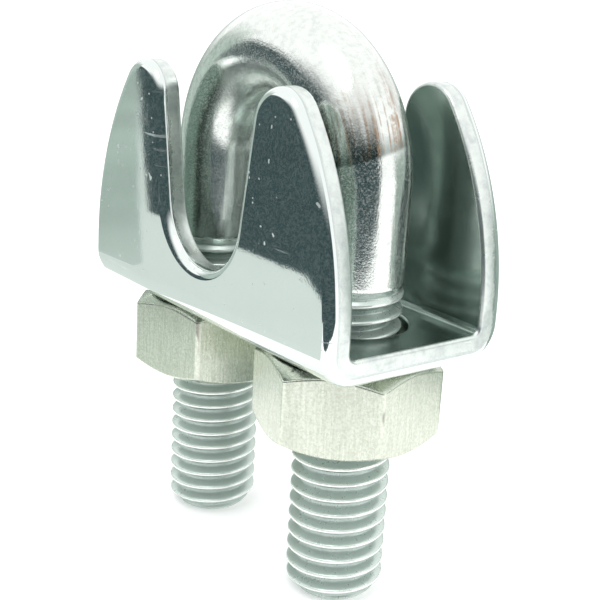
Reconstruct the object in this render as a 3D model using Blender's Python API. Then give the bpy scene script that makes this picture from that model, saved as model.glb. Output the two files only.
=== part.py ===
"""Wire rope clip: a threaded U-bolt, a folded two-wall saddle and two hex nuts.

Frame: metres, +Z up. X runs from leg to leg, Y runs along the rope, and the
origin is under the middle of the clip at the level of the leg ends.
"""
import math

import bmesh
import bpy
from mathutils import Vector

# Driving sizes (metres).
ROD_DIAMETER = 0.0060
ROPE_GAP = 0.0079
OVERALL_HEIGHT = 0.0353
THREAD_PITCH = 0.0010
THREAD_ABOVE_BASE = 0.00255
RUN_OUT_TURNS = 1.5
LEG_BELOW_NUT_SHARE = 0.2918
NUT_ACROSS_FLATS = 0.0100
NUT_HEIGHT = 0.0050
SHEET = 0.00165
SADDLE_WIDTH = 0.0130
SADDLE_END_MARGIN = 0.00585
BEND_INSIDE_RADIUS = 0.0005
NOTCH_FLOOR_HEIGHT = 0.0038
NOTCH_FLARE = math.radians(9.0)
PRONG_TIP_RADIUS = 0.0022
SHOULDER_START_HEIGHT = 0.0029
SHOULDER_RADIUS = 0.0197
EDGE_BREAK = 0.00018

# Clearances (metres).
SEAT_GAP = 0.0003
HOLE_CLEARANCE = 0.0004
THREAD_CLEARANCE = 0.0002
BORE_MOUTH = 0.00015

# Thread form and nut facing, as shares and angles.
THREAD_DEPTH = 0.60 * THREAD_PITCH
CREST_FLAT_SHARE = 0.125
ROOT_FLAT_SHARE = 0.25
LEG_END_INSET = 1.2 * THREAD_DEPTH
LEG_CHAMFER = math.radians(42.0)
NUT_CHAMFER = math.radians(30.0)
NUT_CHAMFER_HEIGHT = NUT_HEIGHT / 4.0
NUT_FACE_SHARE = 0.95
RIGHT_NUT_TURN = math.radians(11.1)
LEFT_NUT_TURN = math.radians(42.5)

# Facets round the thread, the bow, the bends and the holes.
THREAD_SIDES = 20
BOW_STEPS = 30
BEND_STEPS = 5
OUTLINE_STEPS = 14
HOLE_SIDES = 32
CHAMFER_SIDES = 48

# Mesh tolerances (metres and angles).
WELD_DISTANCE = 1e-7
FLAT_ANGLE = math.radians(0.2)
SMOOTH_ANGLE = math.radians(32.0)
CUT_EDGE_ANGLE = math.radians(50.0)

# Sizes that follow from the ones above.
ROD_RADIUS = ROD_DIAMETER / 2.0
LEG_X = (ROPE_GAP + ROD_DIAMETER) / 2.0
BOW_CENTRE_Z = OVERALL_HEIGHT - ROD_RADIUS - LEG_X
NUT_BOTTOM_Z = LEG_BELOW_NUT_SHARE * OVERALL_HEIGHT
NUT_TOP_Z = NUT_BOTTOM_Z + NUT_HEIGHT
BASE_Z = NUT_TOP_Z + SEAT_GAP
THREAD_END = BASE_Z + SHEET + THREAD_ABOVE_BASE
BOW_START = THREAD_END + 0.4 * THREAD_PITCH
HALF_LENGTH = LEG_X + SADDLE_END_MARGIN
HALF_WIDTH = SADDLE_WIDTH / 2.0
NOTCH_RADIUS = ROPE_GAP / 2.0
NOTCH_CENTRE_Z = BASE_Z + NOTCH_FLOOR_HEIGHT + NOTCH_RADIUS


def clear_scene():
    """Remove every object already in the scene."""
    for item in list(bpy.data.objects):
        bpy.data.objects.remove(item, do_unlink=True)


def steel(name, color, roughness):
    """Return a bare metal material of its own for one sub-part."""
    material = bpy.data.materials.new(name)
    material.use_nodes = True
    shader = material.node_tree.nodes["Principled BSDF"]
    shader.inputs["Base Color"].default_value = (*color, 1.0)
    shader.inputs["Roughness"].default_value = roughness
    shader.inputs["Metallic"].default_value = 1.0
    return material


def finish(bm, name, material, location):
    """Turn a bmesh built in world metres into a named object at its own origin."""
    bmesh.ops.remove_doubles(bm, verts=bm.verts[:], dist=WELD_DISTANCE)
    bmesh.ops.recalc_face_normals(bm, faces=bm.faces[:])
    bmesh.ops.translate(bm, verts=bm.verts[:], vec=-Vector(location))
    mesh = bpy.data.meshes.new(name)
    bm.to_mesh(mesh)
    bm.free()
    mesh.materials.append(material)
    mesh.shade_smooth()
    mesh.set_sharp_from_angle(angle=SMOOTH_ANGLE)
    item = bpy.data.objects.new(name, mesh)
    item.location = location
    bpy.context.scene.collection.objects.link(item)
    return item


def prism(outline, start, end, place):
    """Return a bmesh: a flat outline swept from start to end, placed by a function."""
    bm = bmesh.new()
    low = [bm.verts.new(place(u, v, start)) for u, v in outline]
    high = [bm.verts.new(place(u, v, end)) for u, v in outline]
    bm.faces.new(low[::-1])
    bm.faces.new(high)
    for i in range(len(outline)):
        j = (i + 1) % len(outline)
        bm.faces.new((low[i], low[j], high[j], high[i]))
    bmesh.ops.recalc_face_normals(bm, faces=bm.faces[:])
    return bm


def arc(centre, radius, start, end, steps):
    """Return points along an arc in a plane, both ends included."""
    points = []
    for i in range(steps + 1):
        angle = start + (end - start) * i / steps
        points.append((centre[0] + radius * math.cos(angle),
                       centre[1] + radius * math.sin(angle)))
    return points


def cutter_object(bm, name):
    """Turn a bmesh into a hidden object that only shapes another one."""
    mesh = bpy.data.meshes.new(name)
    bm.to_mesh(mesh)
    bm.free()
    item = bpy.data.objects.new(name, mesh)
    item.hide_render = True
    item.display_type = "WIRE"
    bpy.context.scene.collection.objects.link(item)
    return item


def combine(bm, operation, tools):
    """Apply exact Booleans with the tool bmeshes and return the resulting bmesh."""
    body = cutter_object(bm, "blank")
    helpers = []
    for index, tool in enumerate(tools):
        helper = cutter_object(tool, f"tool_{index}")
        modifier = body.modifiers.new(f"cut_{index}", "BOOLEAN")
        modifier.operation = operation
        modifier.solver = "EXACT"
        modifier.object = helper
        helpers.append(helper)
    bpy.context.view_layer.update()
    graph = bpy.context.evaluated_depsgraph_get()
    mesh = bpy.data.meshes.new_from_object(body.evaluated_get(graph))
    result = bmesh.new()
    result.from_mesh(mesh)
    bpy.data.meshes.remove(mesh)
    for item in [body, *helpers]:
        bpy.data.objects.remove(item, do_unlink=True)
    return result


def thread_knots():
    """Return the four places in one pitch where the thread form turns."""
    crest = CREST_FLAT_SHARE / 2.0
    root = 0.5 - ROOT_FLAT_SHARE / 2.0
    return (crest, root, 1.0 - root, 1.0 - crest)


def thread_radius(z, angle, crest_radius):
    """Return the radius of a right-hand thread at one height and angle."""
    phase = (z / THREAD_PITCH - angle / math.tau) % 1.0
    away = min(phase, 1.0 - phase)
    crest, root = thread_knots()[:2]
    share = min(max((away - crest) / (root - crest), 0.0), 1.0)
    return crest_radius - THREAD_DEPTH * share


def helical_skin(radius, z_low, z_high, rings):
    """Return an open cylinder skin whose rows follow the thread helix.

    The rows lie on the turns of the thread form, so a radius given later by
    height and angle keeps its edges crisp. Extra rings are cut where asked.
    """
    bm = bmesh.new()
    knots = thread_knots()
    first = math.floor(z_low / THREAD_PITCH) - 2
    last = math.ceil(z_high / THREAD_PITCH) + 2
    rows = []
    for turn in range(first, last):
        for knot in knots:
            row = []
            for i in range(THREAD_SIDES):
                angle = math.tau * i / THREAD_SIDES
                z = THREAD_PITCH * (turn + knot + i / THREAD_SIDES)
                row.append(bm.verts.new((radius * math.cos(angle), radius * math.sin(angle), z)))
            rows.append(row)
    for r in range(len(rows) - 5):
        for i in range(THREAD_SIDES - 1):
            bm.faces.new((rows[r][i], rows[r][i + 1], rows[r + 1][i + 1], rows[r + 1][i]))
        bm.faces.new((rows[r][-1], rows[r + 4][0], rows[r + 5][0], rows[r + 1][-1]))
    for level in (z_low, *rings, z_high):
        bmesh.ops.bisect_plane(
            bm, geom=bm.verts[:] + bm.edges[:] + bm.faces[:], dist=1e-8,
            plane_co=(0.0, 0.0, level), plane_no=(0.0, 0.0, 1.0),
            clear_inner=level == z_low, clear_outer=level == z_high)
    return bm


def shape_skin(bm, radius_at, keep_above):
    """Move each vertex of a skin to the radius given for its height and angle."""
    for vert in bm.verts:
        if vert.co.z > keep_above:
            continue
        angle = math.atan2(vert.co.y, vert.co.x)
        radius = radius_at(vert.co.z, angle)
        vert.co.x = radius * math.cos(angle)
        vert.co.y = radius * math.sin(angle)


def cap(bm, level):
    """Close the open loop of a skin that lies at one level."""
    loop = [edge for edge in bm.edges
            if edge.is_boundary
            and all(abs(v.co.z - level) < WELD_DISTANCE for v in edge.verts)]
    bmesh.ops.holes_fill(bm, edges=loop, sides=0)


def leg_radius(z, angle):
    """Return the radius of a U-bolt leg: chamfered end, thread and run-out."""
    full = thread_radius(z, angle, ROD_RADIUS)
    fade = min(max((THREAD_END - z) / (RUN_OUT_TURNS * THREAD_PITCH), 0.0), 1.0)
    threaded = ROD_RADIUS - (ROD_RADIUS - full) * fade
    end = ROD_RADIUS - LEG_END_INSET + z * math.tan(LEG_CHAMFER)
    return min(threaded, end)


def threaded_leg(side):
    """Return one leg from its chamfered end up to where the thread runs out."""
    chamfer = LEG_END_INSET / math.tan(LEG_CHAMFER)
    rings = (chamfer, THREAD_END - RUN_OUT_TURNS * THREAD_PITCH)
    bm = helical_skin(ROD_RADIUS, 0.0, THREAD_END, rings)
    shape_skin(bm, leg_radius, THREAD_END - WELD_DISTANCE)
    cap(bm, 0.0)
    bmesh.ops.translate(bm, verts=bm.verts[:], vec=(side * LEG_X, 0.0, 0.0))
    return bm


def bow_rings():
    """Return the centre and outward direction of each ring from leg to leg."""
    rings = [((LEG_X, 0.0, BOW_START), (1.0, 0.0, 0.0))]
    for i in range(BOW_STEPS + 1):
        angle = math.pi * i / BOW_STEPS
        out = (math.cos(angle), 0.0, math.sin(angle))
        rings.append(((LEG_X * out[0], 0.0, BOW_CENTRE_Z + LEG_X * out[2]), out))
    rings.append(((-LEG_X, 0.0, BOW_START), (-1.0, 0.0, 0.0)))
    return rings


def add_bow(bm):
    """Add the plain rod between the two threads to a bmesh."""
    loops = []
    for centre, out in bow_rings():
        loop = []
        for i in range(THREAD_SIDES):
            angle = math.tau * i / THREAD_SIDES
            offset = Vector(out) * math.cos(angle) + Vector((0.0, math.sin(angle), 0.0))
            loop.append(bm.verts.new(Vector(centre) + offset * ROD_RADIUS))
        loops.append(loop)
    for one, two in zip(loops, loops[1:]):
        for i in range(THREAD_SIDES):
            j = (i + 1) % THREAD_SIDES
            bm.faces.new((one[i], one[j], two[j], two[i]))


def make_u_bolt():
    """Build the U-bolt: two threaded legs joined by a half-round bow."""
    bm = bmesh.new()
    for side in (1.0, -1.0):
        leg = threaded_leg(side)
        mesh = bpy.data.meshes.new("leg")
        leg.to_mesh(mesh)
        leg.free()
        bm.from_mesh(mesh)
        bpy.data.meshes.remove(mesh)
    add_bow(bm)
    for side in (1.0, -1.0):
        open_edges = [edge for edge in bm.edges if edge.is_boundary
                      and all(v.co.x * side > 0.0 for v in edge.verts)]
        bmesh.ops.bridge_loops(bm, edges=open_edges)
    material = steel("u_bolt_steel", (0.74, 0.74, 0.73), 0.22)
    return finish(bm, "u_bolt", material, (0.0, 0.0, 0.0))


def channel_outline():
    """Return the saddle's folded section across the rope's width (Y, Z)."""
    outside = BEND_INSIDE_RADIUS + SHEET
    top = prong_tip().y + PRONG_TIP_RADIUS + SHEET
    y = HALF_WIDTH - outside
    z = BASE_Z + outside
    points = [(HALF_WIDTH, top)]
    points += arc((y, z), outside, 0.0, -math.pi / 2.0, BEND_STEPS)
    points += arc((-y, z), outside, -math.pi / 2.0, -math.pi, BEND_STEPS)
    points += [(-HALF_WIDTH, top), (SHEET - HALF_WIDTH, top)]
    points += arc((-y, z), BEND_INSIDE_RADIUS, -math.pi, -math.pi / 2.0, BEND_STEPS)
    points += arc((y, z), BEND_INSIDE_RADIUS, -math.pi / 2.0, 0.0, BEND_STEPS)
    points += [(HALF_WIDTH - SHEET, top)]
    return points


def prong_tip():
    """Return the centre of the rounding that joins a prong's two flanks (X, Z).

    It touches the slanting flank of the notch and the round outer shoulder.
    """
    across = Vector((math.cos(NOTCH_FLARE), -math.sin(NOTCH_FLARE)))
    along = Vector((math.sin(NOTCH_FLARE), math.cos(NOTCH_FLARE)))
    foot = Vector((0.0, NOTCH_CENTRE_Z)) + across * (NOTCH_RADIUS + PRONG_TIP_RADIUS)
    shoulder = shoulder_centre()
    offset = foot - shoulder
    reach = SHOULDER_RADIUS - PRONG_TIP_RADIUS
    half = offset.dot(along)
    travel = -half + math.sqrt(half * half - offset.length_squared + reach * reach)
    return foot + along * travel


def shoulder_centre():
    """Return the centre of the round outer shoulder of a right-hand prong (X, Z)."""
    return Vector((HALF_LENGTH - SHOULDER_RADIUS, BASE_Z + SHOULDER_START_HEIGHT))


def half_wall_outline():
    """Return the right half of a wall's outline, from the base up and into the notch."""
    tip = prong_tip()
    shoulder = shoulder_centre()
    outward = tip - shoulder
    meet = math.atan2(outward.y, outward.x)
    points = [(HALF_LENGTH, BASE_Z - SHEET)]
    points += arc(shoulder, SHOULDER_RADIUS, 0.0, meet, OUTLINE_STEPS)
    points += arc(tip, PRONG_TIP_RADIUS, meet, math.pi - NOTCH_FLARE, OUTLINE_STEPS)[1:]
    points += arc((0.0, NOTCH_CENTRE_Z), NOTCH_RADIUS, -NOTCH_FLARE, -math.pi / 2.0,
                  OUTLINE_STEPS)
    return points


def wall_outline():
    """Return the whole outline of a wall with its two prongs and rope notch (X, Z)."""
    right = half_wall_outline()
    left = [(-x, z) for x, z in reversed(right[:-1])]
    return right + left


def break_edges(bm):
    """Take the sharp corners off the cut edges of the sheet."""
    sharp = [edge for edge in bm.edges
             if edge.is_manifold and edge.calc_face_angle() > CUT_EDGE_ANGLE]
    bmesh.ops.bevel(bm, geom=sharp, offset=EDGE_BREAK, offset_type="OFFSET", segments=1,
                    profile=0.5, affect="EDGES", clamp_overlap=True)


def make_saddle():
    """Build the saddle: one folded sheet with two pronged walls and two leg holes."""
    blank = prism(channel_outline(), -2.0 * HALF_LENGTH, 2.0 * HALF_LENGTH,
                  lambda u, v, w: (w, u, v))
    walls = prism(wall_outline(), -2.0 * HALF_WIDTH, 2.0 * HALF_WIDTH,
                  lambda u, v, w: (u, w, v))
    folded = combine(blank, "INTERSECT", [walls])
    drills = []
    for side in (1.0, -1.0):
        ring = arc((side * LEG_X, 0.0), ROD_RADIUS + HOLE_CLEARANCE, 0.0,
                   math.tau * (HOLE_SIDES - 1) / HOLE_SIDES, HOLE_SIDES - 1)
        drills.append(prism(ring, BASE_Z - SHEET, BASE_Z + 2.0 * SHEET,
                            lambda u, v, w: (u, v, w)))
    bm = combine(folded, "DIFFERENCE", drills)
    bmesh.ops.remove_doubles(bm, verts=bm.verts[:], dist=WELD_DISTANCE)
    bmesh.ops.dissolve_limit(bm, angle_limit=FLAT_ANGLE, verts=bm.verts[:],
                             edges=bm.edges[:])
    break_edges(bm)
    material = steel("saddle_steel", (0.70, 0.71, 0.70), 0.12)
    return finish(bm, "saddle", material, (0.0, 0.0, BASE_Z))


def chamfered_blank(side, turn):
    """Return a hexagon with both ends chamfered, before its bore is cut."""
    corner = NUT_ACROSS_FLATS / (2.0 * math.cos(math.pi / 6.0))
    start = turn + math.pi / 6.0
    hexagon = arc((side * LEG_X, 0.0), corner, start, start + math.tau * 5.0 / 6.0, 5)
    bm = prism(hexagon, NUT_BOTTOM_Z, NUT_TOP_Z, lambda u, v, w: (u, v, w))
    face_radius = NUT_ACROSS_FLATS / 2.0 * NUT_FACE_SHARE
    wide = face_radius + NUT_CHAMFER_HEIGHT / math.tan(NUT_CHAMFER)
    levels = ((NUT_BOTTOM_Z, face_radius), (NUT_BOTTOM_Z + NUT_CHAMFER_HEIGHT, wide),
              (NUT_TOP_Z - NUT_CHAMFER_HEIGHT, wide), (NUT_TOP_Z, face_radius))
    turned = bmesh.new()
    rings = []
    for z, radius in levels:
        ring = arc((side * LEG_X, 0.0), radius, 0.0,
                   math.tau * (CHAMFER_SIDES - 1) / CHAMFER_SIDES, CHAMFER_SIDES - 1)
        rings.append([turned.verts.new((x, y, z)) for x, y in ring])
    turned.faces.new(rings[0][::-1])
    turned.faces.new(rings[-1])
    for one, two in zip(rings, rings[1:]):
        for i in range(CHAMFER_SIDES):
            j = (i + 1) % CHAMFER_SIDES
            turned.faces.new((one[i], one[j], two[j], two[i]))
    return combine(bm, "INTERSECT", [turned])


def bore_radius(z, angle):
    """Return the radius of a nut's bore: the leg's thread, opened out at both faces."""
    threaded = thread_radius(z, angle, ROD_RADIUS) + THREAD_CLEARANCE
    depth = min(z - NUT_BOTTOM_Z, NUT_TOP_Z - z)
    lead_in = ROD_RADIUS + THREAD_CLEARANCE + BORE_MOUTH - depth
    return max(threaded, min(lead_in, ROD_RADIUS + 2.0 * THREAD_CLEARANCE))


def thread_cutter(side):
    """Return the solid that cuts a nut's threaded bore."""
    lead_in = THREAD_DEPTH + BORE_MOUTH
    over = THREAD_PITCH / 2.0
    low = NUT_BOTTOM_Z - over
    high = NUT_TOP_Z + over
    rings = (NUT_BOTTOM_Z + lead_in, NUT_TOP_Z - lead_in)
    bm = helical_skin(ROD_RADIUS, low, high, rings)
    shape_skin(bm, bore_radius, high + over)
    cap(bm, low)
    cap(bm, high)
    bmesh.ops.recalc_face_normals(bm, faces=bm.faces[:])
    bmesh.ops.translate(bm, verts=bm.verts[:], vec=(side * LEG_X, 0.0, 0.0))
    return bm


def make_nut(name, side, turn):
    """Build one hex nut, its thread in step with the leg it runs on."""
    bm = combine(chamfered_blank(side, turn), "DIFFERENCE", [thread_cutter(side)])
    material = steel(f"{name}_steel", (0.72, 0.72, 0.69), 0.30)
    return finish(bm, name, material, (side * LEG_X, 0.0, NUT_BOTTOM_Z))


def main():
    """Build the clip's four pieces."""
    clear_scene()
    make_u_bolt()
    make_saddle()
    make_nut("hex_nut_right", 1.0, RIGHT_NUT_TURN)
    make_nut("hex_nut_left", -1.0, LEFT_NUT_TURN)


main()
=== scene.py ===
"""Looks of a small polished wire rope clip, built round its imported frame.

Everything is in metres in the CAD model's frame: +Z up, X from leg to leg, Y along
the rope, the leg ends on the floor. Four pieces stand for the four CAD nodes: the
threaded U-bolt, the folded saddle and the two hex nuts.
"""
import logging
import math
from dataclasses import dataclass
from enum import Enum
from typing import Any, Callable, Union

import bmesh
import bpy
from mathutils import Matrix, Vector


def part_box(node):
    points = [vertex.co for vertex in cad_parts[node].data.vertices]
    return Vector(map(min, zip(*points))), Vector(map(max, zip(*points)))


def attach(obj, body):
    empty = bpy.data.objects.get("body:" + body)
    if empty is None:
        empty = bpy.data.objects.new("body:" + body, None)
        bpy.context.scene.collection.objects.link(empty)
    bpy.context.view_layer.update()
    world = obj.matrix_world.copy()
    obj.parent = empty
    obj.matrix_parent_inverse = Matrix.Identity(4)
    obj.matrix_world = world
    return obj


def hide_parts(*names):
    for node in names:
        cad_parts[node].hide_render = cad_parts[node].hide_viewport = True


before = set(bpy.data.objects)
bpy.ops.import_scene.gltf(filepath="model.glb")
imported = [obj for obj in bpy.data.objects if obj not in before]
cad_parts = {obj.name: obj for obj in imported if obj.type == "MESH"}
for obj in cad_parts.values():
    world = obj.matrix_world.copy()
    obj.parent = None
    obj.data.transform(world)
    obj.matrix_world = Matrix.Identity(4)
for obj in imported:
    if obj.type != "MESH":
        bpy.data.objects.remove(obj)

log = logging.getLogger("rope_clip")

Colour = tuple[float, float, float]
Point = tuple[float, float, float]
Value = Union["Term", float]
Outline = list[tuple[float, float]]

MERGE_DISTANCE = 1e-6
CORNER_REACH = 0.577  # a hexagon's half side over its width across flats
CORNER_CUT = 0.289  # how far a rounded corner draws in, over its rounding's run
EYE_LEVEL = 0.022


class Body(Enum):
    """The moving bodies of the clip."""

    U_BOLT = "u_bolt"
    SADDLE = "saddle"
    NUT_RIGHT = "nut_right"
    NUT_LEFT = "nut_left"


class Slot(Enum):
    """The record's material slots."""

    U_BOLT = "u_bolt_steel"
    SADDLE = "saddle_steel"
    NUT = "nut_steel"


class Term:
    """A value socket that Python arithmetic turns into Math nodes."""

    def __init__(self, bench: "Bench", socket: bpy.types.NodeSocket) -> None:
        """Wrap one output socket of a bench's tree."""
        self.bench = bench
        self.socket = socket

    def does(self, operation: str, *others: Value) -> "Term":
        """Add one Math node.

        Args:
            operation: the Math node's operation.
            *others: the values or terms of its further sockets.

        Returns:
            The node's result.
        """
        inputs = dict(enumerate((self, *others)))
        return self.bench.out("ShaderNodeMath", {"operation": operation}, inputs)

    def __add__(self, other: Value) -> "Term":
        """Return self + other."""
        return self.does("ADD", other)

    __radd__ = __add__

    def __sub__(self, other: Value) -> "Term":
        """Return self - other."""
        return self.does("SUBTRACT", other)

    def __rsub__(self, other: float) -> "Term":
        """Return other - self."""
        return self.does("MULTIPLY_ADD", -1.0, other)

    def __mul__(self, other: Value) -> "Term":
        """Return self * other."""
        return self.does("MULTIPLY", other)

    __rmul__ = __mul__

    def __truediv__(self, other: Value) -> "Term":
        """Return self / other."""
        return self.does("DIVIDE", other)

    def least(self, other: Value) -> "Term":
        """Return the smaller of the two."""
        return self.does("MINIMUM", other)

    def most(self, other: Value) -> "Term":
        """Return the larger of the two."""
        return self.does("MAXIMUM", other)

    def between(self, low: Value, high: Value) -> "Term":
        """Return self held between low and high."""
        return self.most(low).least(high)

    def step(self, start: Value, end: Value) -> "Term":
        """Return 0 below start and 1 above end, with a smooth rise between them."""
        return ((self - start) / (end - start)).between(0.0, 1.0).eased()

    def eased(self) -> "Term":
        """Return a share from 0 to 1 with its two ends smoothed."""
        return self * self * (3.0 - 2.0 * self)

    def from_whole(self) -> "Term":
        """Return how far a share from 0 to 1 is from the nearer of the two."""
        return 0.5 - (self - 0.5).does("ABSOLUTE")

    def towards(self, other: Value, share: Value) -> "Term":
        """Return the value a share of the way from self to other."""
        return self + (other - self) * share


class Bench:
    """Adds nodes to one node tree."""

    def __init__(self, tree: bpy.types.NodeTree) -> None:
        """Start on a tree and empty it."""
        self.tree = tree
        tree.nodes.clear()

    def node(self, kind: str, settings: dict[str, Any] | None = None,
             inputs: dict[Any, Any] | None = None) -> bpy.types.Node:
        """Add one node of any type.

        Args:
            kind: the node's type name.
            settings: its properties, which are set first.
            inputs: values, terms or sockets by the node's socket name or number.

        Returns:
            The new node.
        """
        made = self.tree.nodes.new(kind)
        for name, value in (settings or {}).items():
            setattr(made, name, value)
        for name, value in (inputs or {}).items():
            source = value.socket if isinstance(value, Term) else value
            if isinstance(source, bpy.types.NodeSocket):
                self.tree.links.new(source, made.inputs[name])
            else:
                made.inputs[name].default_value = source
        return made

    def out(self, kind: str, settings: dict[str, Any] | None = None,
            inputs: dict[Any, Any] | None = None, output: Any = 0) -> Term:
        """Add a node and return one of its outputs as a term."""
        return Term(self, self.node(kind, settings, inputs).outputs[output])

    def mix_colour(self, share: Value, one: Any, two: Any) -> Term:
        """Mix two colours.

        Args:
            share: how much of the second colour, from 0 to 1.
            one: the colour or term at share 0.
            two: the colour or term at share 1.

        Returns:
            The mixed colour.
        """
        colours = [(*c, 1.0) if isinstance(c, tuple) else c for c in (one, two)]
        return self.out("ShaderNodeMix", {"data_type": "RGBA"},
                        {0: share, 6: colours[0], 7: colours[1]}, 2)


class SurfaceBench(Bench):
    """Adds the nodes of one material."""

    def __init__(self, name: str) -> None:
        """Make the material and its object coordinates.

        Args:
            name: the material's name.
        """
        self.material = bpy.data.materials.new(name)
        self.material.use_nodes = True
        super().__init__(self.material.node_tree)
        self.place = self.out("ShaderNodeTexCoord", output="Object")

    def mapped(self, scale: Point, turn: Point = (0.0, 0.0, 0.0)) -> Term:
        """Return the object coordinates scaled and turned."""
        return self.out("ShaderNodeMapping", {}, {"Vector": self.place, "Scale": scale,
                                                  "Rotation": turn})

    def noise(self, scale: float, stretch: Point = (1.0, 1.0, 1.0), detail: float = 3.0,
              roughness: float = 0.5, turn: Point = (0.0, 0.0, 0.0)) -> Term:
        """Add a noise on the object coordinates.

        Args:
            scale: the noise's bumps a metre.
            stretch: factors on the three axes; under 1 draws the bumps out.
            detail: the number of finer layers.
            roughness: how strong the finer layers are.
            turn: the pattern's rotation about the three axes.

        Returns:
            The noise's value, about 0.5 on average.
        """
        return self.noise_at(self.mapped(stretch, turn), scale, detail, roughness)

    def noise_at(self, place: Term, scale: float, detail: float,
                 roughness: float = 0.5) -> Term:
        """Return a noise on a place of its own."""
        return self.out("ShaderNodeTexNoise", {}, {
            "Vector": place, "Scale": scale, "Detail": detail, "Roughness": roughness}, "Fac")

    def axes(self) -> tuple[Term, Term, Term]:
        """Return the three object coordinates as terms."""
        split = self.node("ShaderNodeSeparateXYZ", {}, {0: self.place})
        return tuple(Term(self, split.outputs[i]) for i in range(3))

    def relief(self, height: Value, strength: float, depth: float, normal: Any = None) -> Term:
        """Add a bump.

        Args:
            height: the height over the surface, from 0 to 1.
            strength: how much of the bump counts.
            depth: the metres that a height of 1 stands for.
            normal: an earlier bump's normal, to build on.

        Returns:
            The bumped normal.
        """
        inputs = {"Height": height, "Strength": strength, "Distance": depth}
        if normal is not None:
            inputs["Normal"] = normal
        return self.out("ShaderNodeBump", {}, inputs)

    def close(self, colour: Any, roughness: Value, normal: Any, metallic: Value = 1.0,
              glow: float = 0.0) -> bpy.types.Material:
        """Wire the shader.

        Args:
            colour: the base colour.
            roughness: the surface's roughness.
            normal: the bumped normal.
            metallic: how much of the surface is bare metal.
            glow: the strength of the surface's own even light.

        Returns:
            The finished material.
        """
        inputs = {"Base Color": colour, "Roughness": roughness, "Normal": normal,
                  "Metallic": metallic, "Emission Strength": glow}
        shader = self.node("ShaderNodeBsdfPrincipled", {}, inputs)
        self.node("ShaderNodeOutputMaterial", {}, {"Surface": shader.outputs[0]})
        return self.material


class FieldBench(Bench):
    """Builds one Geometry Nodes tree that shapes a grid of rows and sides."""

    def __init__(self, name: str, rows: int, sides: int) -> None:
        """Make the tree.

        Args:
            name: the tree's name.
            rows: steps of the grid along its first direction.
            sides: steps of the grid round its second direction.
        """
        super().__init__(bpy.data.node_groups.new(name, "GeometryNodeTree"))
        self.given: dict[str, Any] = {}
        self.tree.interface.new_socket("Geometry", in_out="OUTPUT",
                                        socket_type="NodeSocketGeometry")
        self.entry = self.node("NodeGroupInput")
        sizes = {"Size X": float(rows), "Size Y": 1.0, "Vertices X": rows + 1,
                 "Vertices Y": sides + 1}
        self.grid = self.node("GeometryNodeMeshGrid", {}, sizes)
        where = self.node("GeometryNodeInputPosition")
        split = self.node("ShaderNodeSeparateXYZ", {}, {0: where.outputs[0]})
        self.row = Term(self, split.outputs[0]) + rows / 2.0
        self.turn = Term(self, split.outputs[1]) + 0.5

    def asks(self, name: str, value: Any, kind: str = "NodeSocketFloat") -> Term:
        """Add a named input.

        Args:
            name: the input's name.
            value: what the modifier gives it.
            kind: the input's socket type.

        Returns:
            The input's value inside the tree.
        """
        item = self.tree.interface.new_socket(name, in_out="INPUT", socket_type=kind)
        self.given[item.identifier] = value
        return Term(self, self.entry.outputs[name])

    def clamp_rows(self, before: int, count: int) -> Term:
        """Return how far along a run of rows this row is, from 0 to 1."""
        return ((self.row - float(before)) / float(count)).between(0.0, 1.0)

    def closes(self, x: Value, y: Value, z: Value, material: Term) -> None:
        """Place the grid's points, weld its seams and end the tree.

        Args:
            x: each point's place along X.
            y: each point's place along Y.
            z: each point's height.
            material: the finish.
        """
        place = self.out("ShaderNodeCombineXYZ", {}, {0: x, 1: y, 2: z})
        shaped = self.out("GeometryNodeSetPosition", {},
                          {"Geometry": self.grid.outputs[0], "Position": place})
        welded = self.out("GeometryNodeMergeByDistance", {},
                          {"Geometry": shaped, "Distance": MERGE_DISTANCE})
        smooth = self.out("GeometryNodeSetShadeSmooth", {}, {"Geometry": welded})
        real = self.out("GeometryNodeRealizeInstances", {}, {"Geometry": smooth})
        dressed = self.out("GeometryNodeSetMaterial", {},
                           {"Geometry": real, "Material": material})
        self.node("NodeGroupOutput", {}, {0: dressed})

    def piece(self, name: str) -> bpy.types.Object:
        """Run the tree.

        Args:
            name: the piece's name.

        Returns:
            The result as an object with a plain mesh.
        """
        holder = add_object(name, bpy.data.meshes.new(name))
        modifier = holder.modifiers.new("shape", "NODES")
        modifier.node_group = self.tree
        for identifier, value in self.given.items():
            modifier[identifier] = value
        graph = bpy.context.evaluated_depsgraph_get()
        mesh = bpy.data.meshes.new_from_object(holder.evaluated_get(graph))
        holder.modifiers.remove(modifier)
        holder.data = face_outwards(mesh)
        mesh.name = name
        return holder


def add_object(name: str, data: bpy.types.ID) -> bpy.types.Object:
    """Make an object of a mesh, camera or light and put it in the scene."""
    item = bpy.data.objects.new(name, data)
    bpy.context.scene.collection.objects.link(item)
    return item


def face_outwards(mesh: bpy.types.Mesh) -> bpy.types.Mesh:
    """Merge a mesh's doubles and point its faces outwards.

    Args:
        mesh: the mesh, which is changed.

    Returns:
        The same mesh.
    """
    bm = bmesh.new()
    bm.from_mesh(mesh)
    bmesh.ops.remove_doubles(bm, verts=bm.verts[:], dist=MERGE_DISTANCE)
    bmesh.ops.dissolve_degenerate(bm, edges=bm.edges[:], dist=MERGE_DISTANCE)
    bmesh.ops.recalc_face_normals(bm, faces=bm.faces[:])
    bm.to_mesh(mesh)
    bm.free()
    return mesh


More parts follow.
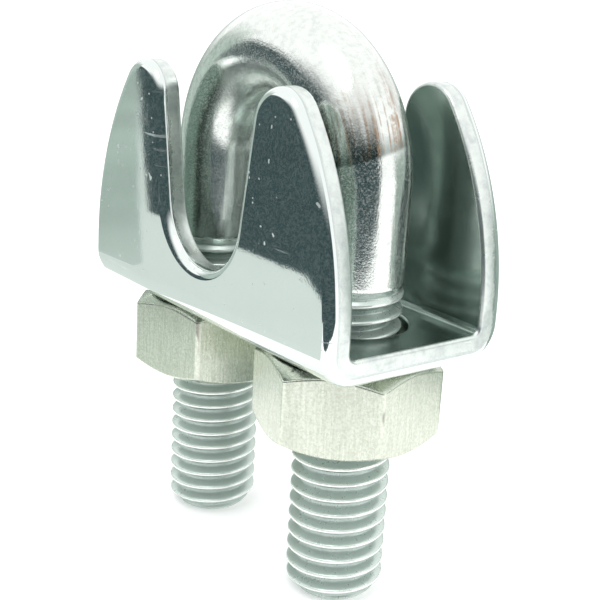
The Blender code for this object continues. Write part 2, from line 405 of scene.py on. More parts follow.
@dataclass(frozen=True)
class ThreadForm:
    """The right-hand thread that the legs and the nuts share."""

    pitch: float = 0.0010
    depth: float = 0.00060
    crest: float = 0.0625
    root: float = 0.375
    roundness: float = 0.6

    def share(self, height: Term, turn: Term) -> Term:
        """Return how deep the form is cut, from 0 at the crest to 1 at the root.

        Args:
            height: the height above the leg ends.
            turn: the share of a whole turn about the leg's axis.

        Returns:
            The share of the full depth.
        """
        away = (height / self.pitch - turn).does("FRACT").from_whole()
        straight = ((away - self.crest) / (self.root - self.crest)).between(0.0, 1.0)
        return straight.towards(straight.eased(), self.roundness)


@dataclass(frozen=True)
class PolishedRod:
    """Bright drawn rod: grained bow, rubbed near shoulder, painted highlight and shade on the
    threads.
    """

    leg_x: float
    bow_z: float
    thread: ThreadForm
    thread_end: float
    bright: Colour = (0.79, 0.82, 0.79)
    mottled: Colour = (0.58, 0.62, 0.59)
    # The next three colours are painted light and shade on the threads: a painted highlight on
    # each crest, a lighter upper flank, and painted shade just under each crest, which the mark
    # also borrows.
    crest: Colour = (0.93, 0.97, 0.94)
    lit_flank: Colour = (0.60, 0.70, 0.65)
    shaded: Colour = (0.09, 0.15, 0.14)
    rubbed: Colour = (0.34, 0.33, 0.30)
    stain: Colour = (0.36, 0.25, 0.17)
    roughness: float = 0.09
    mark_start: float = 0.00157
    mark_slope: float = 0.18
    thread_fade: float = 0.0006
    seat_far: float = 0.0022
    seat_near: float = 0.0006

    def material(self) -> bpy.types.Material:
        """Build the rod's material.

        Returns:
            The finished material.
        """
        b = SurfaceBench("polished_rod")
        x, y, z = b.axes()
        side = x.does("ABSOLUTE")
        over = (z - self.bow_z).most(0.0)
        rim = (side * side + over * over).does("SQRT")
        along = z.least(self.bow_z) + over.does("ARCTAN2", side) * self.leg_x
        rod_place = b.out("ShaderNodeCombineXYZ", {}, {0: rim, 1: y, 2: along * 0.12})
        drawn = b.noise_at(rod_place, 4200.0, 4.0)
        bands = b.noise_at(rod_place, 1300.0, 3.0)
        mottle = b.noise(2600.0, detail=4.0, roughness=0.6)
        speckle = b.noise(9000.0, detail=3.0)
        seat = 1.0 - rim.step(self.leg_x - self.seat_far, self.leg_x - self.seat_near)
        across = x - self.leg_x * x.does("SIGN")
        threaded = 1.0 - z.step(self.thread_end - self.thread_fade, self.thread_end)
        phase = (z / self.thread.pitch - y.does("ARCTAN2", across) / math.tau).does("FRACT")
        # 0 along each thread crest, where the painted highlight goes, and 1 elsewhere on the
        # threads.
        in_groove = threaded * phase.from_whole().step(0.05, 0.10)
        above_mark = along - (self.bow_z + self.mark_start) - self.mark_slope * y
        facing = x.does("GREATER_THAN", 0.0) * (1.0 - y.step(0.0006, 0.0020))
        rub = facing * above_mark.step(0.0, 0.0003) * (1.0 - above_mark.step(0.0008, 0.0044))
        mark = facing * above_mark.step(0.0, 0.0002) * (1.0 - above_mark.step(0.0002, 0.0010))
        streak_place = b.out("ShaderNodeCombineXYZ", {}, {0: rim, 1: y, 2: along * 0.05})
        streaks = b.noise_at(streak_place, 3600.0, 3.0)
        stained = rub * streaks.step(0.48, 0.62) * mottle.step(0.30, 0.60) * 0.9
        colour = b.mix_colour(0.55 * mottle.step(0.42, 0.72) + 0.3 * drawn, self.bright,
                              self.mottled)
        colour = b.mix_colour(rub * bands.step(0.42, 0.58) * 0.85, colour, self.rubbed)
        colour = b.mix_colour(mark * 0.6, colour, self.shaded)
        colour = b.mix_colour(stained, colour, self.stain)
        # Painted light and shade on the threads: light just above each crest, darkening up the
        # flank to painted shade under the next crest, with the painted highlight on the crest
        # itself.
        form = b.mix_colour(phase.step(0.05, 0.95) * (0.75 + 0.9 * (speckle - 0.5)),
                            self.lit_flank, self.shaded)
        form = b.mix_colour(in_groove, self.crest, form)
        colour = b.mix_colour(threaded * (0.75 + 0.25 * mottle), colour, form)
        rough = (self.roughness + 0.10 * (mottle - 0.5) + 0.08 * drawn + 0.16 * in_groove
                 + 0.10 * seat)
        normal = b.relief(drawn, 0.50, 0.00002)
        normal = b.relief(speckle, 0.55, 0.00001, normal)
        normal = b.relief(mottle, 0.25, 0.00002, normal)
        dust = 0.24 * speckle.step(0.46, 0.66) * (1.0 - threaded)
        # The threads are made partly non-metallic so that their painted light and shade shows in
        # the diffuse colour.
        return b.close(colour, rough, normal, 1.0 - dust - 0.38 * threaded)


@dataclass(frozen=True)
class MirrorSheet:
    """Mirror-polished skin with fine scratches, specks and a slight waviness."""

    bright: Colour = (0.73, 0.78, 0.76)
    dull: Colour = (0.62, 0.67, 0.65)
    roughness: float = 0.018

    def material(self) -> bpy.types.Material:
        """Build the outer skin's material.

        Returns:
            The finished material.
        """
        b = SurfaceBench("mirror_sheet")
        cloud = b.noise(420.0, detail=4.0)
        fine = b.noise(7500.0, detail=4.0)
        gate = b.noise(300.0, detail=1.0).step(0.50, 0.60)
        lines = b.noise(2600.0, (0.05, 0.05, 1.0), detail=1.0, turn=(0.0, 0.45, 0.0))
        cross = b.noise(2300.0, (1.0, 1.0, 0.06), detail=1.0, turn=(0.0, -0.5, 0.0))
        scratches = (lines.step(0.70, 0.74) + cross.step(0.72, 0.76)).least(1.0) * gate
        specks = b.noise(2100.0, detail=1.0).step(0.73, 0.76)
        marks = (scratches * 0.6 + specks).least(1.0)
        colour = b.mix_colour(0.4 * cloud + 0.3 * marks, self.bright, self.dull)
        rough = self.roughness + 0.02 * cloud + 0.30 * marks + 0.01 * fine
        haze = 0.01 * cloud + 0.05 * fine.step(0.42, 0.70) + 0.30 * marks
        normal = b.relief(b.noise(170.0, detail=3.0), 0.5, 0.000016)
        normal = b.relief(fine - marks, 0.07, 0.000006, normal)
        return b.close(colour, rough, normal, 1.0 - haze)


@dataclass(frozen=True)
class DullInside:
    """The sheet's inner skin: darker and duller, with drawn rub marks."""

    bright: Colour = (0.50, 0.59, 0.55)
    dark: Colour = (0.27, 0.34, 0.31)
    roughness: float = 0.16

    def material(self) -> bpy.types.Material:
        """Build the inner skin's material.

        Returns:
            The finished material.
        """
        b = SurfaceBench("dull_inside")
        cloud = b.noise(330.0, detail=4.0)
        rubs = b.noise(2600.0, (0.12, 1.0, 1.0), detail=3.0)
        fine = b.noise(6500.0, detail=2.0)
        colour = b.mix_colour(cloud.step(0.3, 0.7) * 0.7 + 0.3 * rubs, self.bright, self.dark)
        rough = self.roughness + 0.16 * (cloud - 0.4) + 0.08 * rubs
        normal = b.relief(b.noise(260.0, detail=1.0), 0.5, 0.00006)
        normal = b.relief(rubs + fine * 0.5, 0.20, 0.000008, normal)
        return b.close(colour, rough, normal)


@dataclass(frozen=True)
class ShearedEdge:
    """The sheet's cut edge: a burnished outer half and a pale, rougher inner half."""

    half_width: float
    base_z: float
    sheet: float
    bright: Colour = (0.76, 0.81, 0.77)
    dull: Colour = (0.52, 0.56, 0.56)
    burnished: Colour = (0.44, 0.49, 0.48)
    roughness: float = 0.24

    def material(self) -> bpy.types.Material:
        """Build the edge's material.

        Returns:
            The finished material.
        """
        b = SurfaceBench("sheared_edge")
        _, y, z = b.axes()
        patches = b.noise(900.0, detail=6.0, roughness=0.7)
        lines = b.noise(4200.0, (1.0, 0.10, 1.0), detail=2.0)
        depth = (self.half_width - y.does("ABSOLUTE")).least(z - self.base_z) / self.sheet
        burnish = 1.0 - (depth + 0.5 * (patches - 0.5)).step(0.40, 0.50)
        colour = b.mix_colour(patches.step(0.42, 0.72) * 0.75 + 0.25 * lines, self.bright,
                              self.dull)
        colour = b.mix_colour(burnish * 0.6, colour, self.burnished)
        rough = (self.roughness + 0.25 * (patches - 0.4) + 0.08 * lines - 0.10 * burnish)
        normal = b.relief(lines, 0.35, 0.00002)
        normal = b.relief(patches, 0.55, 0.00005, normal)
        return b.close(colour, rough, normal)


@dataclass(frozen=True)
class SatinNut:
    """Warm satin steel of a machined hex nut: brushed along its axis, nicked corners."""

    axis_x: float
    turn: float
    bright: Colour = (0.73, 0.76, 0.67)
    dull: Colour = (0.52, 0.56, 0.46)
    nick: Colour = (0.22, 0.21, 0.19)
    roughness: float = 0.22

    def material(self) -> bpy.types.Material:
        """Build the nut's material.

        Returns:
            The finished material.
        """
        b = SurfaceBench("satin_nut")
        x, y, _ = b.axes()
        cloud = b.noise(500.0, detail=4.0)
        brushing = b.noise(9000.0, (1.0, 1.0, 0.06), detail=4.0)
        grain = b.noise(6500.0, detail=4.0)
        sixth = (y.does("ARCTAN2", x - self.axis_x) - self.turn) * (6.0 / math.tau) - 0.5
        worn = 1.0 - sixth.does("FRACT").from_whole().step(0.010, 0.040)
        nicks = worn * b.noise(800.0, (1.0, 1.0, 0.4), detail=1.0).step(0.60, 0.66)
        share = 0.25 * cloud + 0.3 * brushing.step(0.35, 0.65) + 0.45 * grain.step(0.40, 0.62)
        colour = b.mix_colour(share, self.bright, self.dull)
        colour = b.mix_colour(nicks * 0.8, colour, self.nick)
        rough = self.roughness + 0.12 * (cloud - 0.5) + 0.10 * brushing - 0.10 * worn
        normal = b.relief(brushing, 0.35, 0.000015)
        normal = b.relief(grain - 2.0 * nicks, 0.30, 0.000015, normal)
        return b.close(colour, rough, normal)


@dataclass(frozen=True)
class PaleFloor:
    """A plain pale matt surface."""

    colour: Colour = (0.95, 0.95, 0.95)
    shade: Colour = (0.93, 0.93, 0.93)

    def material(self) -> bpy.types.Material:
        """Build the floor's material.

        Returns:
            The finished material.
        """
        b = SurfaceBench("pale_floor")
        colour = b.mix_colour(b.noise(30.0), self.colour, self.shade)
        return b.close(colour, 0.6, b.relief(b.noise(1500.0), 0.05, 0.00002), 0.0, 0.2)


@dataclass
class UBolt:
    """A round rod bent into a U, its two legs threaded from their chamfered ends."""

    thread: ThreadForm
    high: Vector
    rod_radius: float = 0.0030
    thread_end: float = 0.0198
    run_out: float = 0.0015
    end_inset: float = 0.00072
    end_slope: float = math.tan(math.radians(42.0))
    blend: float = 0.00010
    cap_rows: int = 4
    leg_rows: int = 380
    bow_rows: int = 150
    sides: int = 96

    @property
    def leg_x(self) -> float:
        """The distance from the middle to a leg's axis."""
        return self.high.x - self.rod_radius

    @property
    def bow_z(self) -> float:
        """The height of the bow's centre."""
        return self.high.z - self.rod_radius - self.leg_x

    def build(self) -> bpy.types.Object:
        """Build the rod and dress it.

        Returns:
            The finished piece.
        """
        rows = 2 * (self.cap_rows + self.leg_rows) + self.bow_rows
        b = FieldBench("threaded_u_rod", rows, self.sides)
        radius = b.asks("Rod Radius", self.rod_radius)
        leg_x = b.asks("Leg From Middle", self.leg_x)
        bow_z = b.asks("Bow Centre Height", self.bow_z)
        thread_end = b.asks("Thread End", self.thread_end)
        run_out = b.asks("Run-out Length", self.run_out)
        depth = b.asks("Thread Depth", self.thread.depth)
        inset = b.asks("End Inset", self.end_inset)
        slope = b.asks("End Slope", self.end_slope)
        finish = b.asks("Finish", self.finish(), "NodeSocketMaterial")
        plain = (bow_z - thread_end) * 2.0 + leg_x * math.pi
        first = self.cap_rows
        travelled = (thread_end * b.clamp_rows(first, self.leg_rows)
                     + plain * b.clamp_rows(first + self.leg_rows, self.bow_rows)
                     + thread_end * b.clamp_rows(first + self.leg_rows + self.bow_rows,
                                                 self.leg_rows))
        from_top = travelled - (thread_end + plain * 0.5)
        bend = (from_top / leg_x).between(-math.pi / 2.0, math.pi / 2.0)
        out_x = bend.does("SINE") * -1.0
        out_z = bend.does("COSINE")
        drop = (from_top.does("ABSOLUTE") - leg_x * (math.pi / 2.0)).most(0.0)
        height = bow_z - drop
        left = from_top.does("GREATER_THAN", 0.0)
        turn = b.turn.towards(0.5 - b.turn, left)
        fade = ((thread_end - height) / run_out).between(0.0, 1.0)
        threaded = radius - depth * self.thread.share(height, turn) * fade
        tapered = radius - inset + height * slope
        skin = threaded.does("SMOOTH_MIN", tapered, self.blend)
        cap = b.clamp_rows(0, self.cap_rows).least(
            ((float(rows) - b.row) / float(self.cap_rows)).between(0.0, 1.0))
        skin = skin * cap * (2.0 - cap)
        angle = b.turn * math.tau
        reach = leg_x + skin * angle.does("COSINE")
        b.closes(out_x * reach, skin * angle.does("SINE"), height + out_z * reach, finish)
        return b.piece("threaded_u_rod")

    def finish(self) -> bpy.types.Material:
        """Return the rod's finish."""
        return PolishedRod(self.leg_x, self.bow_z, self.thread, self.thread_end).material()


@dataclass
class HexNut:
    """A hex nut with both ends chamfered, its bore in step with the leg's thread."""

    name: str
    thread: ThreadForm
    low: Vector
    high: Vector
    leg_x: float
    turn: float
    across_flats: float = 0.0100
    face_share: float = 0.95
    chamfer: float = math.radians(30.0)
    rod_radius: float = 0.0030
    clearance: float = 0.0002
    corner_round: float = 0.00016
    blend: float = 0.00007
    corner_crowd: float = 0.85
    side_rows: int = 150
    face_rows: int = 6
    bore_rows: int = 90
    sides: int = 192

    def build(self) -> bpy.types.Object:
        """Build the nut.

        Returns:
            The finished piece.
        """
        rows = self.side_rows + 2 * self.face_rows + self.bore_rows
        b = FieldBench(self.name + "_shape", rows, self.sides)
        axis_x = b.asks("Axis X", self.leg_x)
        bottom = b.asks("Bottom Height", self.low.z)
        tall = b.asks("Nut Height", self.high.z - self.low.z)
        flats = b.asks("Across Flats", self.across_flats)
        face = b.asks("Face Radius", self.across_flats / 2.0 * self.face_share)
        rise = b.asks("Chamfer Run", 1.0 / math.tan(self.chamfer))
        turned = b.asks("Turn", self.turn / math.tau)
        bore = b.asks("Bore Radius", self.rod_radius + self.clearance)
        depth = b.asks("Thread Depth", self.thread.depth)
        satin = SatinNut(self.leg_x, self.turn).material()
        finish = b.asks("Finish", satin, "NodeSocketMaterial")
        sector = b.turn * 6.0
        local = sector.does("FRACT")
        crowd = (local * math.tau).does("SINE") * (self.corner_crowd / math.tau)
        turn = (sector.does("FLOOR") + local - crowd) / 6.0
        from_flat = ((local - crowd) - 0.5) * (math.pi / 3.0)
        from_corner = (math.pi / 6.0 - from_flat.does("ABSOLUTE")) * flats * CORNER_REACH
        rounding = (1.0 - from_corner / self.corner_round).most(0.0)
        hexagon = flats * 0.5 / from_flat.does("COSINE")
        hexagon = hexagon - rounding * rounding * (CORNER_CUT * self.corner_round)
        up = b.clamp_rows(0, self.side_rows)
        down = b.clamp_rows(self.side_rows + self.face_rows, self.bore_rows)
        rise_to = up - down
        height = bottom + tall * rise_to
        depth_in = tall * rise_to.least(1.0 - rise_to)
        cone = face + depth_in * rise
        outer = hexagon.does("SMOOTH_MIN", cone, self.blend)
        true_turn = turn + turned + 1.0 / 12.0
        cut = bore - depth * self.thread.share(height, true_turn)
        mouth = bore + depth * 0.25 - depth_in
        inner = cut.most(mouth.least(bore + self.clearance))
        inward = b.clamp_rows(self.side_rows, self.face_rows)
        outward = b.clamp_rows(self.side_rows + self.face_rows + self.bore_rows, self.face_rows)
        skin = inner.towards(outer, 1.0 - inward + outward)
        angle = true_turn * math.tau
        b.closes(axis_x + skin * angle.does("COSINE"), skin * angle.does("SINE"), height, finish)
        return b.piece(self.name)


class Skin(Enum):
    """The parts of the folded sheet's surface, in the order of their finishes."""

    OUTSIDE = 0
    INSIDE = 1
    CUT = 2


@dataclass
class Saddle:
    """One folded sheet: a base with two leg holes and two notched, pronged walls."""

    low: Vector
    high: Vector
    leg_x: float
    rod_radius: float = 0.0030
    sheet: float = 0.00165
    bend_inside: float = 0.0005
    rope_gap: float = 0.0079
    notch_floor: float = 0.0038
    notch_flare: float = math.radians(9.0)
    tip_radius: float = 0.0022
    shoulder_start: float = 0.0029
    shoulder_radius: float = 0.0197
    hole_clearance: float = 0.0004
    outer_round: float = 0.00062
    outer_steps: int = 7
    inner_round: float = 0.00022
    inner_steps: int = 3
    bend_steps: int = 14
    outline_steps: int = 44
    hole_sides: int = 96
    sharp_angle: float = math.radians(50.0)
    flat_angle: float = math.radians(0.1)
    level_share: float = 0.3

    @property
    def half_length(self) -> float:
        """Half the saddle's length along X."""
        return self.high.x

    @property
    def half_width(self) -> float:
        """Half the saddle's width along Y."""
        return self.high.y

    @property
    def base_z(self) -> float:
        """The height of the base's underside."""
        return self.low.z

    @staticmethod
    def arc(centre: tuple[float, float], radius: float, start: float, end: float,
            steps: int) -> Outline:
        """Set out points along an arc.

        Args:
            centre: the arc's centre.
            radius: its radius.
            start: the first point's angle.
            end: the last point's angle.
            steps: the number of steps between them.

        Returns:
            The points, both ends included.
        """
        turns = [start + (end - start) * i / steps for i in range(steps + 1)]
        return [(centre[0] + radius * math.cos(a), centre[1] + radius * math.sin(a))
                for a in turns]

    def channel(self) -> Outline:
        """Draw the folded section across the saddle's width.

        Returns:
            The section's points (Y, Z).
        """
        outside = self.bend_inside + self.sheet
        top = self.high.z + self.sheet
        y = self.half_width - outside
        z = self.base_z + outside
        quarter = math.pi / 2.0
        points = [(self.half_width, top)]
        points += self.arc((y, z), outside, 0.0, -quarter, self.bend_steps)
        points += self.arc((-y, z), outside, -quarter, -2.0 * quarter, self.bend_steps)
        points += [(-self.half_width, top), (self.sheet - self.half_width, top)]
        points += self.arc((-y, z), self.bend_inside, -2.0 * quarter, -quarter, self.bend_steps)
        points += self.arc((y, z), self.bend_inside, -quarter, 0.0, self.bend_steps)
        points += [(self.half_width - self.sheet, top)]
        return points

    def tip_centre(self, notch_z: float, shoulder: Vector) -> Vector:
        """Find the centre of the rounding between a prong's two flanks.

        Args:
            notch_z: the height of the notch's centre.
            shoulder: the centre of the outer shoulder (X, Z).

        Returns:
            The rounding's centre (X, Z).
        """
        across = Vector((math.cos(self.notch_flare), -math.sin(self.notch_flare)))
        along = Vector((math.sin(self.notch_flare), math.cos(self.notch_flare)))
        foot = Vector((0.0, notch_z)) + across * (self.rope_gap / 2.0 + self.tip_radius)
        offset = foot - shoulder
        reach = self.shoulder_radius - self.tip_radius
        half = offset.dot(along)
        run = math.sqrt(half * half - offset.length_squared + reach * reach) - half
        return foot + along * run

    def wall(self) -> Outline:
        """Draw the outline of a wall with its two prongs and rope notch.

        Returns:
            The outline's points (X, Z).
        """
        notch_z = self.base_z + self.notch_floor + self.rope_gap / 2.0
        shoulder = Vector((self.half_length - self.shoulder_radius,
                           self.base_z + self.shoulder_start))
        tip = self.tip_centre(notch_z, shoulder)
        outward = tip - shoulder
        meet = math.atan2(outward.y, outward.x)
        steps = self.outline_steps
        right = [(self.half_length, self.base_z - self.sheet)]
        right += self.arc(shoulder, self.shoulder_radius, 0.0, meet, steps)
        right += self.arc(tip, self.tip_radius, meet, math.pi - self.notch_flare, steps)[1:]
        right += self.arc((0.0, notch_z), self.rope_gap / 2.0, -self.notch_flare,
                          -math.pi / 2.0, steps)
        return right + [(-x, z) for x, z in reversed(right[:-1])]

    @staticmethod
    def prism(outline: Outline, start: float, end: float,
              place: Callable[[float, float, float], Point]) -> bmesh.types.BMesh:
        """Sweep an outline.

        Args:
            outline: the outline's points (u, v).
            start: the sweep w at one end.
            end: the sweep w at the other end.
            place: turns (u, v, w) into a place.

        Returns:
            The closed solid.
        """
        bm = bmesh.new()
        ends = [[bm.verts.new(place(u, v, w)) for u, v in outline] for w in (start, end)]
        bm.faces.new(ends[0][::-1])
        bm.faces.new(ends[1])
        for i in range(len(outline)):
            j = (i + 1) % len(outline)
            bm.faces.new((ends[0][i], ends[0][j], ends[1][j], ends[1][i]))
        bmesh.ops.recalc_face_normals(bm, faces=bm.faces[:])
        return bm

    @staticmethod
    def cut(bm: bmesh.types.BMesh, operation: str,
            tools: list[bmesh.types.BMesh]) -> bmesh.types.BMesh:
        """Apply exact Booleans.

        Args:
            bm: the solid to work on, which is used up.
            operation: the Boolean's operation.
            tools: the solids to work with, which are used up.

        Returns:
            The resulting solid.
        """
        made = []
        for index, source in enumerate([bm, *tools]):
            mesh = bpy.data.meshes.new(f"blank_{index}")
            source.to_mesh(mesh)
            source.free()
            made.append(add_object(f"blank_{index}", mesh))
        for tool in made[1:]:
            modifier = made[0].modifiers.new(tool.name, "BOOLEAN")
            modifier.operation = operation
            modifier.solver = "EXACT"
            modifier.object = tool
        graph = bpy.context.evaluated_depsgraph_get()
        mesh = bpy.data.meshes.new_from_object(made[0].evaluated_get(graph))
        result = bmesh.new()
        result.from_mesh(mesh)
        bpy.data.meshes.remove(mesh)
        for item in made:
            bpy.data.objects.remove(item, do_unlink=True)
        return result

    def part_of(self, face: bmesh.types.BMFace) -> Skin:
        """Tell which part of the sheet's surface a face belongs to.

        Args:
            face: the face.

        Returns:
            The part, which also numbers its finish.
        """
        centre = face.calc_center_median()
        if self.in_hole(centre) and abs(face.normal.z) <= self.level_share:
            return Skin.INSIDE
        in_base = centre.z < self.base_z + self.sheet + self.bend_inside
        upright = abs(face.normal.y) <= self.level_share
        if upright and not (in_base and abs(face.normal.z) > self.level_share):
            return Skin.CUT
        inside = (abs(centre.y) < self.half_width - self.sheet / 2.0
                  and centre.z > self.base_z + self.sheet / 2.0)
        return Skin.INSIDE if inside else Skin.OUTSIDE

    def edge_group(self, edge: bmesh.types.BMEdge) -> Skin:
        """Tell which finish an edge's rounding takes.

        Args:
            edge: the edge.

        Returns:
            The finish's part of the surface.
        """
        if self.in_hole((edge.verts[0].co + edge.verts[1].co) / 2.0):
            return Skin.INSIDE
        outer = any(face.material_index == Skin.OUTSIDE.value for face in edge.link_faces)
        return Skin.OUTSIDE if outer else Skin.CUT

    def round_edges(self, bm: bmesh.types.BMesh) -> None:
        """Round the cut edges: well over the outer skin, lightly elsewhere.

        Args:
            bm: the sheet, which is changed.
        """
        for group in (Skin.OUTSIDE, Skin.CUT, Skin.INSIDE):
            outer = group == Skin.OUTSIDE
            sharp = [edge for edge in bm.edges
                     if edge.is_manifold and edge.calc_face_angle() > self.sharp_angle
                     and self.edge_group(edge) == group]
            bmesh.ops.bevel(bm, geom=sharp, offset_type="OFFSET", profile=0.5,
                            offset=self.outer_round if outer else self.inner_round,
                            segments=self.outer_steps if outer else self.inner_steps,
                            affect="EDGES", clamp_overlap=True, material=group.value)

    def in_hole(self, place: Vector) -> bool:
        """Tell whether a place lies in a leg hole or on its rim.

        Args:
            place: the place.

        Returns:
            True in a hole or on a rim.
        """
        away = math.hypot(abs(place.x) - self.leg_x, place.y)
        return (away < self.rod_radius + 2.0 * self.hole_clearance
                and place.z < self.base_z + 1.5 * self.sheet)

    def build(self) -> bpy.types.Object:
        """Fold, cut and drill the sheet, then round and polish its edges.

        Returns:
            The finished piece.
        """
        blank = self.prism(self.channel(), -2.0 * self.half_length, 2.0 * self.half_length,
                           lambda u, v, w: (w, u, v))
        walls = self.prism(self.wall(), -2.0 * self.half_width, 2.0 * self.half_width,
                           lambda u, v, w: (u, w, v))
        bm = self.cut(blank, "INTERSECT", [walls])
        drills = []
        for side in (1.0, -1.0):
            ring = self.arc((side * self.leg_x, 0.0), self.rod_radius + self.hole_clearance,
                            0.0, math.tau * (1.0 - 1.0 / self.hole_sides), self.hole_sides - 1)
            drills.append(self.prism(ring, self.base_z - self.sheet,
                                     self.base_z + 2.0 * self.sheet,
                                     lambda u, v, w: (u, v, w)))
        bm = self.cut(bm, "DIFFERENCE", drills)
        bmesh.ops.remove_doubles(bm, verts=bm.verts[:], dist=MERGE_DISTANCE / 10.0)
        bmesh.ops.dissolve_limit(bm, angle_limit=self.flat_angle, verts=bm.verts[:],
                                 edges=bm.edges[:])
        bm.normal_update()
        for face in bm.faces:
            face.material_index = self.part_of(face).value
        self.round_edges(bm)
        bmesh.ops.recalc_face_normals(bm, faces=bm.faces[:])
        mesh = bpy.data.meshes.new("folded_saddle")
        bm.to_mesh(mesh)
        bm.free()
        mesh.shade_smooth()
        edge = ShearedEdge(self.half_width, self.base_z, self.sheet)
        for finish in (MirrorSheet(), DullInside(), edge):
            mesh.materials.append(finish.material())
        piece = add_object("folded_saddle", mesh)
        flatten = piece.modifiers.new("even_shading", "WEIGHTED_NORMAL")
        flatten.weight = 100
        flatten.keep_sharp = False
        return piece


@dataclass(frozen=True)
class Screen:
    """A screen that starts on the floor and rises round part of the clip.

    Angles about +Z are degrees from +X, and rises are degrees over eye level. The
    inner edge is given as straight runs between (angle, radius) corners. The screen
    fades out between soft_low and soft_high; where low_start is given, its start
    fades out lower, from low_start, and joins the rest at low_end.
    """

    start: float
    end: float
    inner: tuple[tuple[float, float], ...]
    shade: Colour
    radius: float = 0.30
    height: float = 0.36
    lift: float = 0.0006
    soft_low: float = 14.0
    soft_high: float = 44.0
    low_start: float | None = None
    low_end: float = -100.0
    low_margin: float = 6.0
    low_fade: float = 7.0
    foot_low: float | None = None
    foot_high: float = -10.0
    soft_side: float = 0.0
    lean_start: float = 0.0
    lean_end: float = 0.0
    uneven: float = 1.3
    steps: int = 90

    @staticmethod
    def across(angle: float) -> Vector:
        """Return the level direction at an angle in degrees."""
        turn = math.radians(angle)
        return Vector((math.cos(turn), math.sin(turn), 0.0))

    def inner_radius(self, angle: float) -> float:
        """Find the inner edge, which runs straight between its corners.

        Args:
            angle: the angle about +Z, in degrees.

        Returns:
            The edge's radius at that angle.
        """
        for (a, near), (b, far) in zip(self.inner, self.inner[1:]):
            if a <= angle <= b:
                corner = self.across(a) * near
                along = self.across(b) * far - corner
                return corner.cross(along).z / self.across(angle).cross(along).z
        return self.inner[-1][1]

    def material(self, name: str) -> bpy.types.Material:
        """Build the screen's finish, which fades out upwards and at its end.

        Args:
            name: the material's name.

        Returns:
            The finished material.
        """
        b = SurfaceBench(name)
        x, y, z = b.axes()
        rise = (z - EYE_LEVEL).does("ARCTAN2", (x * x + y * y).does("SQRT"))
        turn = y.does("ARCTAN2", x)
        low, high = math.radians(self.soft_low), math.radians(self.soft_high)
        if self.low_start is not None:
            drop = 1.0 - turn.step(math.radians(self.start + self.low_margin),
                                   math.radians(self.low_end))
            first = math.radians(self.low_start)
            low = low + drop * (first - low)
            high = high + drop * (first + math.radians(self.low_fade) - high)
        fade = 1.0 - rise.step(low, high)
        if self.foot_low is not None:
            fade = fade * rise.step(math.radians(self.foot_low), math.radians(self.foot_high))
        if self.soft_side > 0.0:
            fade = fade * (1.0 - turn.step(math.radians(self.end - self.soft_side),
                                           math.radians(self.end)))
        tone = b.mix_colour(b.noise(14.0).step(0.30, 0.70), self.shade,
                            tuple(self.uneven * c for c in self.shade))
        glow = b.node("ShaderNodeEmission", {}, {"Color": tone})
        clear = b.node("ShaderNodeBsdfTransparent")
        both = b.node("ShaderNodeMixShader", {}, {0: fade, 1: clear.outputs[0],
                                                  2: glow.outputs[0]})
        b.node("ShaderNodeOutputMaterial", {}, {"Surface": both.outputs[0]})
        return b.material


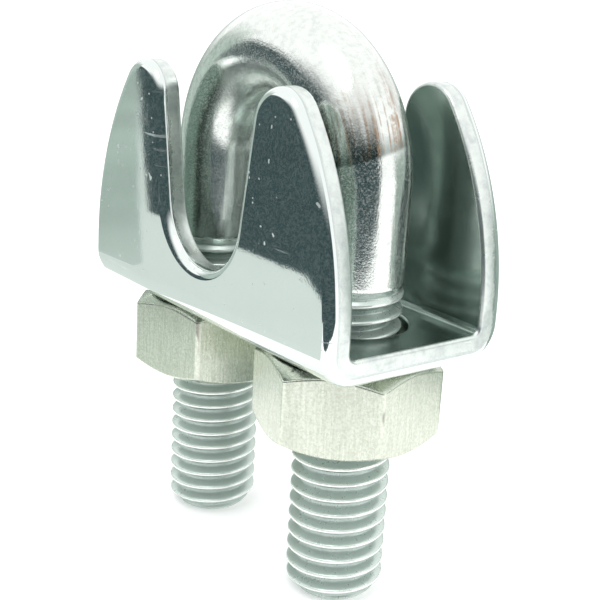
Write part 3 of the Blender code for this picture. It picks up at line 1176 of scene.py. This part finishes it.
@dataclass
class Studio:
    """Plain pale floor, soft light and the camera."""

    eye: Point = (0.056306, -0.042937, 0.037929)
    aim: Point = (0.001214, 0.0, 0.019551)
    roll: float = math.radians(3.223)
    sensor: float = 36.0
    lens: float = 69.3111
    shift_x: float = 0.00954
    shift_y: float = -0.0680217
    floor_half: float = 3.0
    floor_z: float = -2e-5
    sky_strength: float = 1.28
    near_clip: float = 0.001

    def camera(self) -> None:
        """Stand the camera where the clip is seen from."""
        eye = Vector(self.eye)
        forward = (Vector(self.aim) - eye).normalized()
        right = forward.cross(Vector((0.0, 0.0, 1.0))).normalized()
        up = right.cross(forward)
        across = right * math.cos(self.roll) + up * math.sin(self.roll)
        upward = up * math.cos(self.roll) - right * math.sin(self.roll)
        data = bpy.data.cameras.new("camera")
        data.sensor_width = self.sensor
        data.lens = self.lens
        data.shift_x = self.shift_x
        data.shift_y = self.shift_y
        data.clip_start = self.near_clip
        item = add_object("camera", data)
        turn = Matrix((across, upward, -forward)).transposed().to_4x4()
        item.matrix_world = Matrix.Translation(eye) @ turn
        bpy.context.scene.camera = item

    def floor(self) -> None:
        """Lay the floor that the leg ends stand on."""
        mesh = bpy.data.meshes.new("floor")
        side = self.floor_half
        corners = [(x * side, y * side, self.floor_z)
                   for x, y in ((-1.0, -1.0), (1.0, -1.0), (1.0, 1.0), (-1.0, 1.0))]
        mesh.from_pydata(corners, [], [(0, 1, 2, 3)])
        mesh.materials.append(PaleFloor().material())
        add_object("floor", mesh)

    def surround(self, name: str, screen: Screen) -> None:
        """Stand a screen round part of the clip that only its reflections see.

        Args:
            name: the screen's name.
            screen: its place, outline and shade.
        """
        points = []
        count = screen.steps
        lift = Vector((0.0, 0.0, screen.lift))
        for i in range(count + 1):
            angle = screen.start + (screen.end - screen.start) * i / count
            near = angle + screen.lean_start + (screen.lean_end - screen.lean_start) * i / count
            foot = screen.across(angle) * screen.radius + lift
            points += [screen.across(near) * screen.inner_radius(near) + lift, foot,
                       foot + Vector((0.0, 0.0, screen.height))]
        faces = [(k, k + 3, k + 4, k + 1) for i in range(count) for k in (3 * i, 3 * i + 1)]
        mesh = bpy.data.meshes.new(name)
        mesh.from_pydata(points, [], faces)
        mesh.materials.append(screen.material(name))
        item = add_object(name, mesh)
        item.visible_camera = False
        item.visible_shadow = False
        item.visible_diffuse = False

    def light(self, name: str, centre: Point, aim: Point, size: float, power: float) -> None:
        """Hang one soft area light.

        Args:
            name: the light's name.
            centre: where it hangs.
            aim: the place it shines at.
            size: the width of its disk.
            power: its power in watts.
        """
        data = bpy.data.lights.new(name, "AREA")
        data.shape = "DISK"
        data.size = size
        data.energy = power
        item = add_object(name, data)
        item.location = centre
        item.rotation_euler = (Vector(aim) - Vector(centre)).to_track_quat("-Z", "Y").to_euler()

    def sky(self) -> None:
        """Wrap the scene in even soft white light."""
        world = bpy.data.worlds.new("studio")
        world.use_nodes = True
        b = Bench(world.node_tree)
        shell = b.node("ShaderNodeBackground", {}, {"Color": (1.0, 1.0, 1.0, 1.0),
                                                    "Strength": self.sky_strength})
        b.node("ShaderNodeOutputWorld", {}, {"Surface": shell.outputs[0]})
        bpy.context.scene.world = world
        bpy.context.scene.view_settings.view_transform = "Standard"

    def set_up(self) -> None:
        """Build the whole studio."""
        self.camera()
        self.floor()
        self.sky()
        self.surround("dark_screen", Screen(
            -149.9, 8.0, ((-149.9, 0.108), (-132.2, 0.073), (-126.4, 0.057), (-108.0, 0.063),
                          (-40.0, 0.070), (8.0, 0.110)),
            (0.050, 0.080, 0.084), low_start=8.0, soft_side=7.0, lean_start=1.9))
        self.surround("horizon_screen", Screen(
            40.0, 180.0, ((40.0, 0.075), (180.0, 0.075)), (0.34, 0.42, 0.38),
            soft_low=2.0, soft_high=18.0))
        self.surround("grey_screen", Screen(
            -179.0, -149.9, ((-179.0, 0.045), (-147.0, 0.075)), (0.45, 0.54, 0.49),
            soft_low=10.0, soft_high=30.0, lean_end=1.9, foot_low=-24.0))
        self.surround("pale_sheet", Screen(
            -179.0, -110.0, ((-179.0, 0.030), (-110.0, 0.030)), (0.82, 0.89, 0.85),
            radius=0.30, height=0.001, lift=0.0003, uneven=1.12))
        self.light("key", (0.05, -0.10, 0.25), (0.0, 0.0, 0.02), 0.12, 0.12)


def stand_for(piece: bpy.types.Object, body: Body, node: str) -> None:
    """Put a finished piece in a CAD node's place and on its body.

    Args:
        piece: the finished piece.
        body: the body it rides on.
        node: the CAD node it replaces.
    """
    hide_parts(node)
    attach(piece, body.value)
    log.info("%s stands for %s: %d faces", piece.name, node, len(piece.data.polygons))


def main() -> None:
    """Build the clip's pieces in order, dress them and set up the studio."""
    logging.basicConfig(level=logging.INFO, format="%(name)s: %(message)s")
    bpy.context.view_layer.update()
    thread = ThreadForm()
    studio = Studio()
    studio.set_up()
    bolt = UBolt(thread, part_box("u_bolt")[1])
    stand_for(bolt.build(), Body.U_BOLT, "u_bolt")
    saddle = Saddle(*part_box("saddle"), bolt.leg_x)
    stand_for(saddle.build(), Body.SADDLE, "saddle")
    right = HexNut("near_hex_nut", thread, *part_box("hex_nut_right"), bolt.leg_x,
                   math.radians(11.1))
    stand_for(right.build(), Body.NUT_RIGHT, "hex_nut_right")
    left = HexNut("far_hex_nut", thread, *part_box("hex_nut_left"), -bolt.leg_x,
                  math.radians(42.5))
    stand_for(left.build(), Body.NUT_LEFT, "hex_nut_left")


if __name__ == "__main__":
    main()
